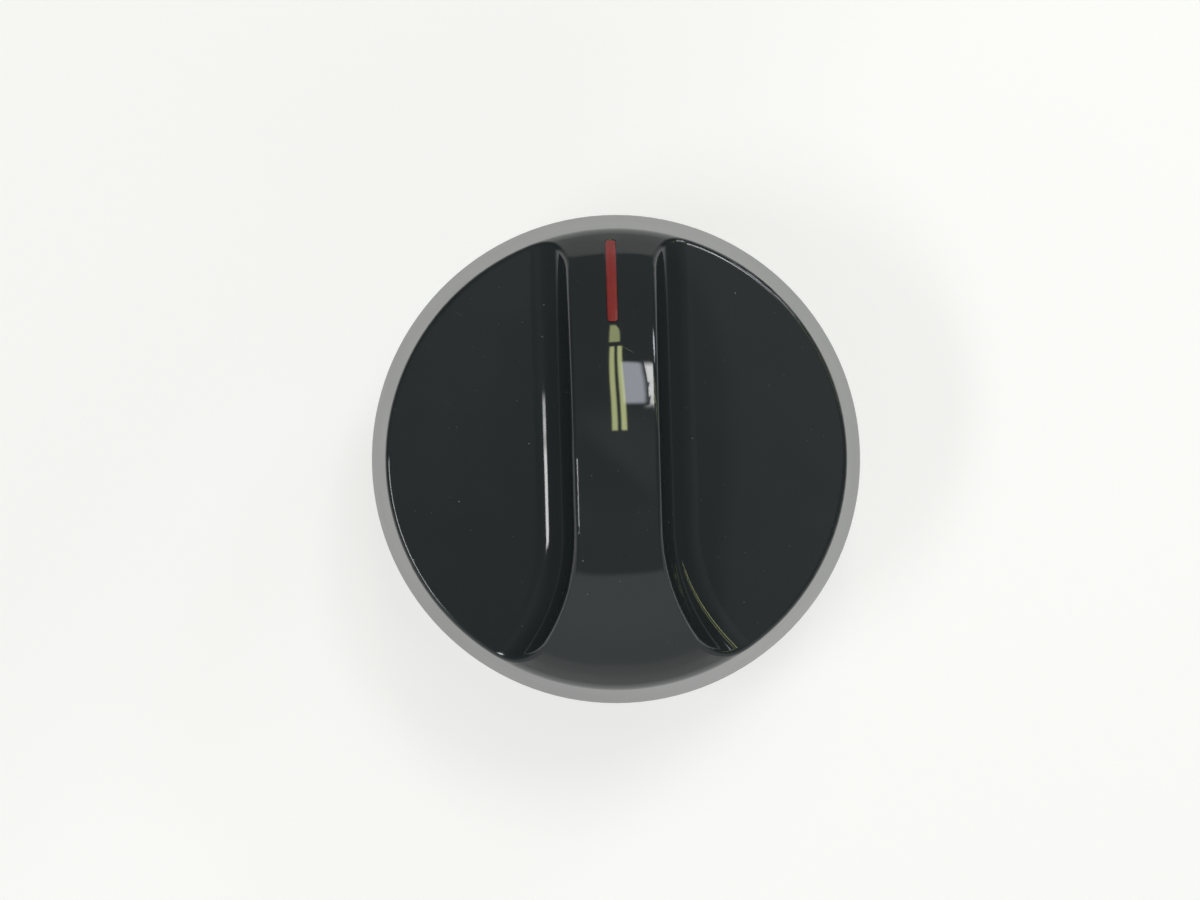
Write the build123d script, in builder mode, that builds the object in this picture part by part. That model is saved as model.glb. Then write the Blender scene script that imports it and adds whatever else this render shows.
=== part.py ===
"""Stove knob: a domed, flared grip bar on a round rim, a red pointer line and a long stem with a sprung D socket."""

import os
from math import cos, radians, sqrt, tan

from build123d import *

# Sizes are in millimetres and degrees. The stem's end stands on height zero and the pointer faces +Y.

# Cap: the rim, the dome and the shoulder that joins them
knob_diameter = 50.82
knob_height = 33.4
stem_reach = 15.25
rim_height = 6.75
rim_draft = 15.4
shoulder_height = 6.95
shoulder_radius = 3.0
edge_radius = 0.6
wall_thickness = 2.2

# Grip bar: parallel flanks that flare out on the side away from the pointer
bar_width = 9.67
bar_draft = 2.3
bar_root_radius = 3.6
flare_radius = 20.5
flare_start = 7.2
flare_sweep = 54.0

# Stem and the ribs that brace it
stem_diameter = 12.7
stem_edge = 0.5
rib_thickness = 1.6
rib_foot_drop = 4.5
rib_toe_recess = 1.2

# Socket for a quarter-inch shaft with a flat
socket_diameter = 6.45
socket_flat = 1.62
socket_depth = 16.0

# Spring leaf in the socket
spring_width = 3.8
spring_thickness = 0.4
spring_length = 12.0
spring_bow = 0.5
spring_press = 0.03
spring_foot = 1.6
spring_clearance = 0.05

# Pointer line
pointer_width = 1.1
pointer_length = 8.5
pointer_gap = 3.08
pointer_corner = 0.35
pointer_depth = 0.5
pointer_crown = 0.14
pointer_clearance = 0.02

rim_radius = knob_diameter / 2
rim_slope = tan(radians(rim_draft))
face_height = stem_reach + rim_height
dome_edge = rim_radius - shoulder_height * rim_slope
dome_rise = knob_height - stem_reach - shoulder_height
dome_radius = (dome_edge**2 + dome_rise**2) / (2 * dome_rise)
dome_centre = knob_height - dome_radius
flare_centre = (bar_width / 2 + flare_radius, -flare_start, 0)
flare_axis = Axis(flare_centre, (0, 0, 1))
flank_plane = Plane(flare_centre, x_dir=(1, 0, 0), z_dir=(0, -1, 0))
flare_end_plane = flank_plane.rotated((0, 0, flare_sweep))
root_bevel = (2 - sqrt(2)) * (bar_root_radius + wall_thickness)
pointer_middle = rim_radius - pointer_gap - pointer_length / 2
pocket_back = socket_flat - spring_press + spring_thickness + spring_bow + spring_clearance
pocket_width = spring_width + 2 * spring_clearance
notch_depth = spring_thickness + 2 * spring_clearance


def cap_solid(inset, rounded):
    """The rim and dome as a solid of revolution, set in from the outer skin and carried down to the stem's end."""
    skin_inset = inset / cos(radians(rim_draft))
    foot_radius = rim_radius + stem_reach * rim_slope - skin_inset
    top_radius = rim_radius - (knob_height - stem_reach) * rim_slope - skin_inset
    with BuildPart() as cap:
        with BuildSketch(Plane.XZ) as section:
            with BuildLine():
                Polyline((0, 0), (foot_radius, 0), (top_radius, knob_height), (0, knob_height), close=True)
            make_face()
            with Locations((0, dome_centre)):
                Circle(dome_radius - inset, mode=Mode.INTERSECT)
            if rounded:
                fillet(section.vertices().sort_by(Axis.X)[-2], shoulder_radius - inset)
        revolve(axis=Axis.Z)
    return cap.part


def finger_section(plane, inset, reach, rounded):
    """Section across the finger space: the flat face, the bar's rounded or bevelled root and its drafted flank."""
    flank = -flare_radius - inset
    floor = face_height - inset
    lean = knob_height * tan(radians(bar_draft))
    with BuildSketch(plane) as section:
        with BuildLine():
            Polyline(
                (flank, floor),
                (reach, floor),
                (reach, floor + knob_height),
                (flank - lean, floor + knob_height),
                close=True,
            )
        make_face()
        root = section.vertices().group_by(Axis.Y)[0].sort_by(Axis.X)[0]
        if rounded:
            fillet(root, bar_root_radius + inset)
        else:
            chamfer(root, root_bevel)
    return section.sketch


def finger_space(inset, rounded):
    """The open space beside the bar on the +X side, grown towards the bar and the finger face by the inset."""
    with BuildPart() as space:
        extrude(finger_section(flank_plane, inset, knob_diameter, rounded), amount=-knob_diameter)
        revolve(finger_section(flank_plane, inset, 0, rounded), axis=flare_axis, revolution_arc=flare_sweep)
        extrude(finger_section(flare_end_plane, inset, knob_diameter, rounded), amount=knob_diameter)
    return space.part


def barred_cap(inset, rounded):
    """The cap with the finger spaces cut away on both sides of the bar, set in from the outer skin."""
    with BuildPart() as cap:
        add(cap_solid(inset, rounded))
        add(finger_space(inset, rounded), mode=Mode.SUBTRACT)
        mirror(finger_space(inset, rounded), about=Plane.YZ, mode=Mode.SUBTRACT)
    return cap.part


def pointer_slot(clearance):
    """An upright prism with the pointer line's outline."""
    with BuildPart() as slot:
        with BuildSketch(Plane.XY.offset(face_height)):
            with Locations((0, pointer_middle)):
                RectangleRounded(
                    pointer_width - 2 * clearance,
                    pointer_length - 2 * clearance,
                    pointer_corner - clearance,
                )
        extrude(amount=knob_height - face_height)
    return slot.part


# Hollow under the cap that follows the outer skin one wall thickness inside it
with BuildPart() as hollow:
    add(barred_cap(wall_thickness, rounded=False))

# Stem with its socket and four ribs, trimmed to the hollow
rib_foot = stem_reach - rib_foot_drop
rib_toe = stem_reach + rib_toe_recess
rib_planes = [
    Plane(origin=(0, 0, 0), x_dir=(1, 1, 0), z_dir=(1, -1, 0)),
    Plane(origin=(0, 0, 0), x_dir=(-1, 1, 0), z_dir=(1, 1, 0)),
]
with BuildPart() as stem:
    with BuildSketch(*rib_planes):
        with BuildLine():
            Polyline(
                (-rim_radius, rib_toe),
                (-stem_diameter / 2, rib_foot),
                (stem_diameter / 2, rib_foot),
                (rim_radius, rib_toe),
                (rim_radius, knob_height),
                (-rim_radius, knob_height),
                close=True,
            )
        make_face()
    extrude(amount=rib_thickness / 2, both=True)
    Cylinder(stem_diameter / 2, knob_height, align=(Align.CENTER, Align.CENTER, Align.MIN))
    chamfer(stem.edges().group_by(Axis.Z)[0], stem_edge)
    add(hollow.part, mode=Mode.INTERSECT)
    with BuildSketch(Plane.XY):
        Circle(socket_diameter / 2)
        with Locations((0, socket_flat)):
            Rectangle(socket_diameter, socket_diameter, align=(Align.CENTER, Align.MIN), mode=Mode.SUBTRACT)
    extrude(amount=socket_depth, mode=Mode.SUBTRACT)
    with BuildSketch(Plane.XY):
        Rectangle(pocket_width, pocket_back, align=(Align.CENTER, Align.MIN))
    extrude(amount=spring_length + spring_thickness, mode=Mode.SUBTRACT)
    with BuildSketch(Plane.XY):
        Rectangle(pocket_width, pocket_back + spring_foot + spring_clearance, align=(Align.CENTER, Align.MIN))
    extrude(amount=notch_depth, mode=Mode.SUBTRACT)

# Groove for the pointer line
with BuildPart() as groove:
    add(pointer_slot(0))
    with Locations((0, 0, dome_centre)):
        Sphere(dome_radius - pointer_depth, mode=Mode.SUBTRACT)

# Moulding: a core set in by the edge radius and grown out again, so that a round runs along every edge of the skin
with BuildPart() as knob_body:
    add(barred_cap(edge_radius, rounded=True))
    offset(amount=edge_radius, kind=Kind.ARC)
    split(bisect_by=Plane.XY.offset(stem_reach), keep=Keep.TOP)
    add(hollow.part, mode=Mode.SUBTRACT)
    add(stem.part)
    add(groove.part, mode=Mode.SUBTRACT)

# Red pointer line, a bead that fills the groove and stands a little proud in the middle
bead_side = pointer_width / 2
bead_base = knob_height - pointer_depth + pointer_clearance
with BuildPart() as pointer_line:
    with BuildSketch(Plane.XZ):
        with BuildLine():
            ThreePointArc((-bead_side, knob_height), (0, knob_height + pointer_crown), (bead_side, knob_height))
            Polyline((bead_side, knob_height), (bead_side, bead_base), (-bead_side, bead_base), (-bead_side, knob_height))
        make_face()
    revolve(axis=Axis((0, 0, dome_centre), (-1, 0, 0)), revolution_arc=90)
    add(pointer_slot(pointer_clearance), mode=Mode.INTERSECT)

# Spring leaf, a bowed strip with a foot turned out under the stem
with BuildPart() as stem_spring:
    with BuildSketch(Plane.YZ):
        with BuildLine() as leaf:
            heel = (pocket_back - spring_clearance, notch_depth - spring_clearance)
            tip = (pocket_back - spring_clearance, spring_length)
            crown = (pocket_back - spring_clearance - spring_bow, (notch_depth + spring_length) / 2)
            Line((pocket_back + spring_foot, notch_depth - spring_clearance), heel)
            ThreePointArc(heel, crown, tip)
            offset(amount=spring_thickness, side=Side.LEFT)
        make_face()
    extrude(amount=spring_width / 2, both=True)

os.makedirs("parts", exist_ok=True)
knob_body.part.label = "knob_body"
export_step(knob_body.part, "parts/knob_body.step")
pointer_line.part.label = "pointer_line"
export_step(pointer_line.part, "parts/pointer_line.step")
stem_spring.part.label = "stem_spring"
export_step(stem_spring.part, "parts/stem_spring.step")
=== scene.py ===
"""Looks of the stove knob: gloss black plastic, red pointer fill and spring steel, seen from straight above."""

import math

import bpy
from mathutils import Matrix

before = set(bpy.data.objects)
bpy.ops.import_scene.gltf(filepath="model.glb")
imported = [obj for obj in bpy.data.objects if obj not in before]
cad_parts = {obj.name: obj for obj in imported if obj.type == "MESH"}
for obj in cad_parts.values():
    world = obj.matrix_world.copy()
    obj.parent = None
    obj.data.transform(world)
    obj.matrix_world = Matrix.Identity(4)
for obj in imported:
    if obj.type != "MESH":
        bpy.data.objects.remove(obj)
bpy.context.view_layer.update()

scene = bpy.context.scene
MM = 0.001

# The hidden surfaces lie below this height and inside this radius, with a short blur towards the skin
HOLLOW_TOP = 20.0 * MM
HOLLOW_RADIUS = 23.5 * MM
BLUR = 0.1 * MM

# Colours of the lights
COOL = (0.86, 0.90, 1.0)
WARM = (0.91, 0.98, 0.45)
WHITE = (1.0, 1.0, 1.0)

# Camera and floor, in metres and pixels, with the photograph's framing
CAMERA_HEIGHT = 0.417
PIXELS_PER_METRE = 9260
FRAME_WIDTH = 1200
SENSOR = 36
CAMERA_TURN = math.radians(-1.6)
CAMERA_RIGHT = -1.663 * MM
CAMERA_UP = 0.94 * MM
FLOOR_REACH = 2.5


class Graph:
    """A node tree with short calls for the nodes that the materials share."""

    def __init__(self, tree):
        self.tree = tree

    def node(self, kind, inputs=None, **settings):
        made = self.tree.nodes.new(kind)
        for name, value in settings.items():
            setattr(made, name, value)
        for name, value in (inputs or {}).items():
            self.put(made.inputs[name], value)
        return made

    def put(self, socket, value):
        if isinstance(value, bpy.types.NodeSocket):
            self.tree.links.new(value, socket)
        else:
            socket.default_value = value

    def math(self, operation, first, second=0.0, third=0.0):
        inputs = {0: first, 1: second, 2: third}
        return self.node("ShaderNodeMath", inputs, operation=operation).outputs[0]

    def step(self, value, low, high, to_low=0.0, to_high=1.0):
        """A smooth step from to_low at low to to_high at high. High may be the smaller one."""
        inputs = {"Value": value, "From Min": low, "From Max": high, "To Min": to_low, "To Max": to_high}
        made = self.node("ShaderNodeMapRange", inputs, interpolation_type="SMOOTHSTEP", clamp=True)
        return made.outputs["Result"]

    def mix(self, factor, first, second):
        return self.node("ShaderNodeMix", {0: factor, 2: first, 3: second}, data_type="FLOAT").outputs[0]

    def blend(self, factor, first, second):
        return self.node("ShaderNodeMix", {0: factor, 6: first, 7: second}, data_type="RGBA").outputs[2]

    def scaled(self, vector, scale):
        return self.node("ShaderNodeMapping", {"Vector": vector, "Scale": scale}).outputs[0]

    def turned(self, vector, angle):
        inputs = {"Vector": vector, "Angle": angle}
        return self.node("ShaderNodeVectorRotate", inputs, rotation_type="Z_AXIS").outputs[0]

    def noise(self, vector, scale, detail=2.0, rough=0.5):
        inputs = {"Vector": vector, "Scale": scale, "Detail": detail, "Roughness": rough}
        return self.node("ShaderNodeTexNoise", inputs).outputs["Fac"]

    def bump(self, height, distance, normal=None, strength=1.0):
        inputs = {"Height": height, "Distance": distance, "Strength": strength}
        if normal is not None:
            inputs["Normal"] = normal
        return self.node("ShaderNodeBump", inputs).outputs[0]


def new_material(name):
    material = bpy.data.materials.new(name)
    material.use_nodes = True
    shader = material.node_tree.nodes["Principled BSDF"]
    return material, Graph(material.node_tree), shader


def dress(node, material):
    """Puts one material on every slot of a CAD node."""
    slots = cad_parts[node].material_slots
    for place in slots:
        place.material = material


def under_skin(graph, point, normal):
    """One on the hidden surfaces under the cap and inside the bar, zero on the polished outer skin."""
    place = graph.node("ShaderNodeSeparateXYZ", {0: point})
    facing = graph.node("ShaderNodeSeparateXYZ", {0: normal})
    across = graph.math("POWER", place.outputs["X"], 2)
    along = graph.math("POWER", place.outputs["Y"], 2)
    radius = graph.math("SQRT", graph.math("ADD", across, along))
    low = graph.step(place.outputs["Z"], HOLLOW_TOP + BLUR, HOLLOW_TOP - BLUR)
    inner = graph.step(radius, HOLLOW_RADIUS + BLUR, HOLLOW_RADIUS - BLUR)
    below = graph.math("MULTIPLY", low, inner)
    downward = graph.step(facing.outputs["Z"], -0.2, -0.5)
    side = graph.math("SIGN", place.outputs["X"])
    turned = graph.step(graph.math("MULTIPLY", facing.outputs["X"], side), -0.05, -0.2)
    return graph.math("MAXIMUM", graph.math("MAXIMUM", below, downward), turned)


def specks(graph, point, scale, size, share):
    """Sparse round specks of dust; share is the part of the cells that carry one."""
    cells = graph.node("ShaderNodeTexVoronoi", {"Vector": point, "Scale": scale})
    near = graph.step(cells.outputs["Distance"], size, size * 0.6)
    tone = graph.node("ShaderNodeSeparateColor", {0: cells.outputs["Color"]})
    chosen = graph.math("LESS_THAN", tone.outputs[0], share)
    return graph.math("MULTIPLY", near, chosen)


def hairlines(graph, point, turn, scale, limit):
    """Thin straight scratches along one direction."""
    lines = graph.noise(graph.scaled(graph.turned(point, turn), scale), 1.0, 1.0)
    return graph.step(lines, limit, limit + 0.03)


def black_plastic():
    material, graph, shader = new_material("black_plastic")
    point = graph.node("ShaderNodeTexCoord").outputs["Object"]
    normal = graph.node("ShaderNodeNewGeometry").outputs["Normal"]
    hidden = under_skin(graph, point, normal)
    cloud = graph.noise(point, 160, 3.0)
    grain = graph.noise(point, 5200, 2.0)
    smear = graph.step(graph.noise(point, 85, 4.0, 0.62), 0.5, 0.75)
    dust = specks(graph, point, 420, 0.032, 1.0)
    lint = specks(graph, point, 1100, 0.045, 0.5)
    dust = graph.math("MAXIMUM", dust, graph.math("MULTIPLY", lint, 0.6))
    scratch = graph.math(
        "MAXIMUM",
        hairlines(graph, point, 0.5, (210, 4200, 300), 0.76),
        hairlines(graph, point, -1.1, (240, 3900, 300), 0.77),
    )
    skin = graph.blend(cloud, (0.0235, 0.0285, 0.0315, 1), (0.0270, 0.0330, 0.0360, 1))
    dull = graph.blend(grain, (0.020, 0.021, 0.0215, 1), (0.032, 0.033, 0.0335, 1))
    colour = graph.blend(hidden, skin, dull)
    colour = graph.blend(graph.math("MULTIPLY", dust, 0.55), colour, (0.42, 0.42, 0.40, 1))
    graph.put(shader.inputs["Base Color"], colour)
    gloss = graph.math("MULTIPLY_ADD", cloud, 0.02, 0.018)
    gloss = graph.math("MULTIPLY_ADD", smear, 0.035, gloss)
    gloss = graph.math("MULTIPLY_ADD", scratch, 0.02, gloss)
    gloss = graph.math("MULTIPLY_ADD", dust, 0.5, gloss)
    matt = graph.math("MULTIPLY_ADD", grain, 0.16, 0.30)
    graph.put(shader.inputs["Roughness"], graph.mix(hidden, gloss, matt))
    shader.inputs["IOR"].default_value = 1.62
    wave = graph.noise(point, 110, 1.0)
    edges = graph.node("ShaderNodeBevel", {"Radius": 0.2 * MM}, samples=6).outputs["Normal"]
    surface = graph.bump(wave, 0.07 * MM, edges)
    surface = graph.bump(graph.math("SUBTRACT", dust, scratch), 0.004 * MM, surface, 0.5)
    texture = graph.bump(grain, 0.03 * MM)
    both = graph.node("ShaderNodeMix", {0: hidden, 4: surface, 5: texture}, data_type="VECTOR").outputs[1]
    graph.put(shader.inputs["Normal"], both)
    return material


def red_fill():
    material, graph, shader = new_material("red_fill")
    point = graph.node("ShaderNodeTexCoord").outputs["Object"]
    mottle = graph.noise(point, 1300, 3.0)
    fine = graph.noise(point, 5200, 2.0)
    across = graph.node("ShaderNodeSeparateXYZ", {0: point}).outputs["X"]
    # Painted shade: the red fill is darker along its two long edges, where a rounded bead would turn away from
    # the light
    edge_shade = graph.step(graph.math("ABSOLUTE", across), 0.36 * MM, 0.52 * MM)
    colour = graph.blend(mottle, (0.27, 0.035, 0.033, 1), (0.35, 0.048, 0.045, 1))
    colour = graph.blend(graph.math("MULTIPLY", edge_shade, 0.55), colour, (0.12, 0.016, 0.016, 1))
    graph.put(shader.inputs["Base Color"], colour)
    graph.put(shader.inputs["Roughness"], graph.math("MULTIPLY_ADD", fine, 0.16, 0.16))
    graph.put(shader.inputs["Normal"], graph.bump(mottle, 0.02 * MM))
    return material


def spring_steel():
    material, graph, shader = new_material("spring_steel")
    point = graph.node("ShaderNodeTexCoord").outputs["Object"]
    streak = graph.noise(graph.scaled(point, (9000, 900, 120)), 1.0, 3.0)
    stain = graph.noise(point, 420, 3.0)
    colour = graph.blend(stain, (0.40, 0.39, 0.37, 1), (0.58, 0.57, 0.55, 1))
    colour = graph.blend(graph.math("MULTIPLY", streak, 0.4), colour, (0.30, 0.29, 0.27, 1))
    graph.put(shader.inputs["Base Color"], colour)
    shader.inputs["Metallic"].default_value = 1.0
    graph.put(shader.inputs["Roughness"], graph.math("MULTIPLY_ADD", streak, 0.25, 0.2))
    graph.put(shader.inputs["Normal"], graph.bump(streak, 0.006 * MM))
    return material


def table_with_painted_light():
    """A pale surface with painted light: its colour and glow make a painted pool of light that is brightest
    near the knob and dims away from it, and the glow over all of it keeps shadows faint.
    """
    material, graph, shader = new_material("table_with_painted_light")
    point = graph.node("ShaderNodeTexCoord").outputs["Object"]
    place = graph.node("ShaderNodeSeparateXYZ", {0: point})
    across, along = place.outputs["X"], place.outputs["Y"]
    front = graph.math("MINIMUM", along, 0.0)
    aside = graph.math("MULTIPLY_ADD", front, 1.2, graph.math("ABSOLUTE", across))
    # Painted pool of light: the table is lighter and glows more near the knob, and less towards the front and
    # the back
    painted_light_pool = graph.step(aside, 0.30, 0.07)
    painted_light_pool = graph.math("MULTIPLY", painted_light_pool, graph.step(front, -0.05, -0.25, 1.0, 0.45))
    painted_light_pool = graph.math("MULTIPLY", painted_light_pool, graph.step(along, 0.05, 0.20, 1.0, 0.40))
    near = graph.blend(graph.noise(point, 14, 3.0), (0.49, 0.49, 0.485, 1), (0.51, 0.51, 0.505, 1))
    graph.put(shader.inputs["Base Color"], graph.blend(painted_light_pool, (0.30, 0.30, 0.30, 1), near))
    shader.inputs["Roughness"].default_value = 0.6
    shader.inputs["Specular IOR Level"].default_value = 0.2
    shader.inputs["Emission Color"].default_value = (1.0, 1.0, 0.99, 1)
    # Painted light: the table's glow is a little stronger on the side where X is larger than Y
    glow = graph.step(graph.math("SUBTRACT", across, along), -0.06, 0.0, 0.10, 0.155)
    graph.put(shader.inputs["Emission Strength"], graph.math("MULTIPLY_ADD", painted_light_pool, 0.49, glow))
    return material


def studio_room():
    """A grey room with a pale wall on the side that the flared end faces."""
    world = bpy.data.worlds.new("studio")
    world.use_nodes = True
    graph = Graph(world.node_tree)
    sky = graph.node("ShaderNodeSeparateXYZ", {0: graph.node("ShaderNodeTexCoord").outputs["Generated"]})
    across, along, height = sky.outputs["X"], sky.outputs["Y"], sky.outputs["Z"]
    open_side = graph.step(graph.math("ABSOLUTE", across), 0.85, 0.35)
    level = graph.math("MULTIPLY_ADD", open_side, 0.08, 0.08)
    level = graph.math("ADD", level, graph.step(along, 0.15, 0.5, 0.0, -0.06))
    lean = graph.math("MULTIPLY_ADD", along, 0.95, height)
    wall = graph.math("MULTIPLY", graph.step(lean, 0.035, -0.045), graph.step(along, -0.05, -0.2))
    level = graph.mix(wall, level, graph.step(height, 0.45, 0.05, 0.55, 0.44))
    overhead = graph.step(height, 0.90, 0.99)
    slant = graph.math("ADD", across, along)
    glow = graph.math("MULTIPLY", overhead, graph.step(slant, -0.12, 0.12, -0.05, 0.085))
    background = world.node_tree.nodes["Background"]
    background.inputs["Color"].default_value = (0.97, 1.0, 1.0, 1)
    graph.put(background.inputs["Strength"], graph.math("ADD", level, glow))
    return world


def soft_light(name, place, width, length, radiance, fades, colour):
    """A rectangular light of a given radiance that faces straight down and fades at its sides and ends."""
    light = bpy.data.lights.new(name, "AREA")
    light.shape = "RECTANGLE"
    light.size = width
    light.size_y = length
    light.color = colour
    light.energy = radiance * math.pi * width * length
    light.use_nodes = True
    glow = Graph(light.node_tree)
    spot = glow.node("ShaderNodeSeparateXYZ", {0: glow.node("ShaderNodeNewGeometry").outputs["Parametric"]})
    fade = 1.0
    for axis, span, edge in (("X", width, fades[0]), ("Y", length, fades[1])):
        off = glow.math("ABSOLUTE", glow.math("SUBTRACT", spot.outputs[axis], 0.5))
        fade = glow.math("MULTIPLY", glow.step(off, 0.5, 0.5 - edge / span), fade)
    glow.put(light.node_tree.nodes["Emission"].inputs["Strength"], fade)
    lamp = bpy.data.objects.new(name, light)
    lamp.location = place
    lamp.visible_camera = False
    scene.collection.objects.link(lamp)


def photo_camera():
    """A camera that looks straight down, as in the photograph, with the knob turned a little in the frame."""
    lens = bpy.data.cameras.new("camera")
    lens.sensor_width = SENSOR
    lens.lens = SENSOR * CAMERA_HEIGHT / (FRAME_WIDTH / PIXELS_PER_METRE)
    viewer = bpy.data.objects.new("camera", lens)
    viewer.location = (
        CAMERA_RIGHT * math.cos(CAMERA_TURN) - CAMERA_UP * math.sin(CAMERA_TURN),
        CAMERA_RIGHT * math.sin(CAMERA_TURN) + CAMERA_UP * math.cos(CAMERA_TURN),
        CAMERA_HEIGHT,
    )
    viewer.rotation_euler = (0, 0, CAMERA_TURN)
    scene.collection.objects.link(viewer)
    scene.camera = viewer


dress("knob_body", black_plastic())
dress("pointer_line", red_fill())
dress("stem_spring", spring_steel())

floor_mesh = bpy.data.meshes.new("floor")
signs = ((-1, -1), (1, -1), (1, 1), (-1, 1))
corners = [(across * FLOOR_REACH, along * FLOOR_REACH, 0) for across, along in signs]
floor_mesh.from_pydata(corners, [], [(0, 1, 2, 3)])
floor_mesh.materials.append(table_with_painted_light())
floor = bpy.data.objects.new("floor", floor_mesh)
scene.collection.objects.link(floor)

# Lights: soft boxes to the right of the pointer, tubes overhead and to the right, and a strip on the left
scene.world = studio_room()
soft_light("box_right", (0.105, 0.41, 0.70), 0.13, 0.30, 5.0, (0.03, 0.03), COOL)
soft_light("box_bright", (0.225, 0.40, 0.70), 0.18, 0.34, 10.0, (0.05, 0.06), WHITE)
soft_light("box_low", (0.62, 0.64, 0.50), 0.40, 0.28, 13.0, (0.08, 0.08), COOL)
soft_light("tube_near", (0.0, 0.60, 1.0), 0.056, 0.82, 6.0, (0.018, 0.018), WARM)
soft_light("tube_far", (0.066, 0.60, 1.0), 0.056, 0.82, 6.5, (0.018, 0.018), WARM)
soft_light("tube_right", (1.95, 0.50, 1.0), 2.8, 0.05, 5.5, (0.02, 0.02), WARM)
soft_light("tube_right_far", (1.95, 0.66, 1.0), 2.8, 0.05, 4.0, (0.02, 0.02), WARM)
soft_light("end_lamp", (0.014, 0.82, 0.70), 0.08, 0.17, 4.0, (0.015, 0.015), WARM)
soft_light("strip_left", (-0.49, -0.191, 0.72), 0.21, 0.418, 10.0, (0.05, 0.016), WHITE)

photo_camera()
scene.view_settings.view_transform = "Standard"
